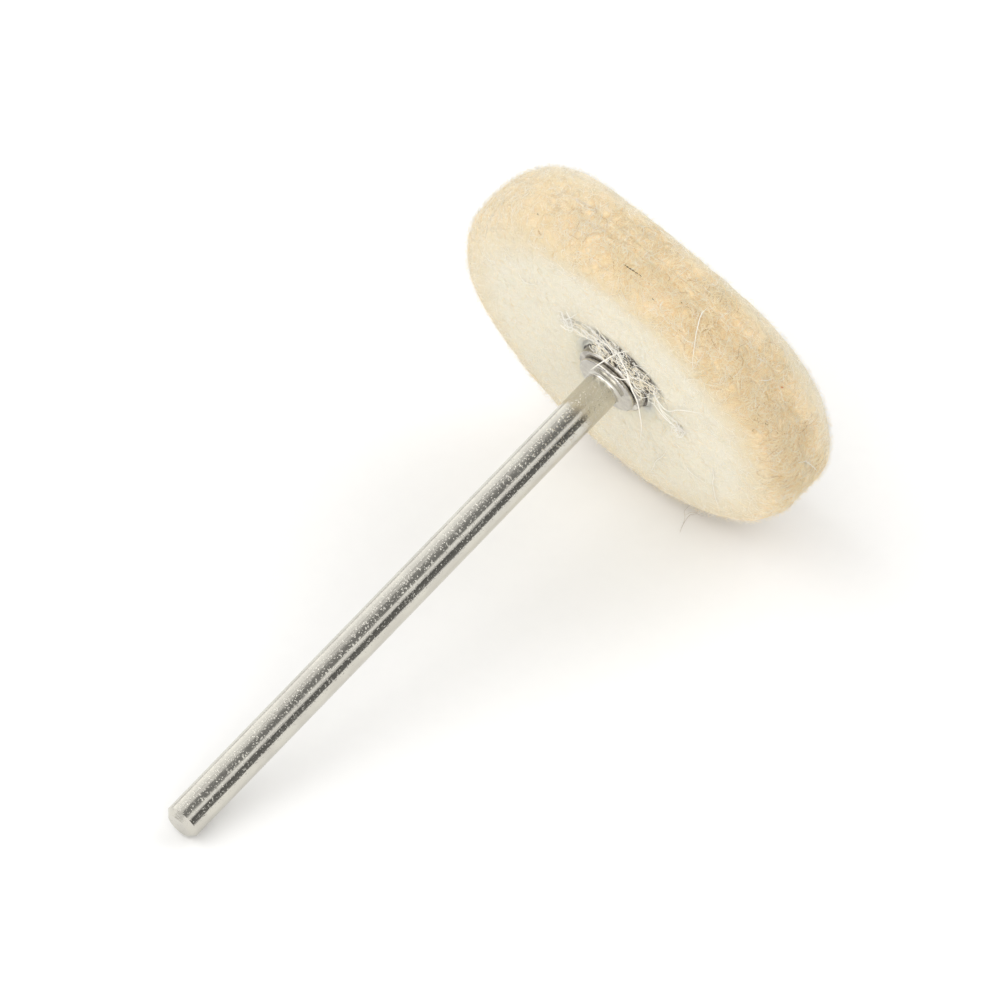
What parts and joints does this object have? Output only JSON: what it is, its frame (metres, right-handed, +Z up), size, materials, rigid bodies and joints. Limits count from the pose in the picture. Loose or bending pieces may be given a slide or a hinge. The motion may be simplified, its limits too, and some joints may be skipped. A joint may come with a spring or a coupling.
{
  "type": "felt polishing wheel",
  "caption": "Pressed wool felt polishing wheel riveted between washers on a slim nickel-plated mandrel that fits a rotary tool's collet.",
  "frame": {"origin": "middle of the object's footprint, on the flat surface that it lies on", "axes": "+Z up; the spindle lies in the YZ plane, with the shank's free end towards -Y and the wheel towards +Y, and climbs 16.3 degrees towards the wheel, because the object lies on the rim of the wheel and the end of the shank"},
  "size_m": [0.026, 0.0466, 0.0256],
  "materials": {
    "nickel_shank": "bright nickel plate over drawn steel wire, fine lengthwise scratches and pits",
    "nickel_collar": "bright nickel plate, turned and barrel polished",
    "nickel_washer": "bright nickel plate over stamped steel",
    "wool_felt": "dense undyed wool felt, creamy white with a tan, coarser band round the rim"
  },
  "bodies": {
    "root": {"mandrel": "nickel_shank", "rear_collar": "nickel_collar", "rear_washer": "nickel_washer", "felt_wheel": "wool_felt", "front_washer": "nickel_washer"}
  },
  "joints": []
}
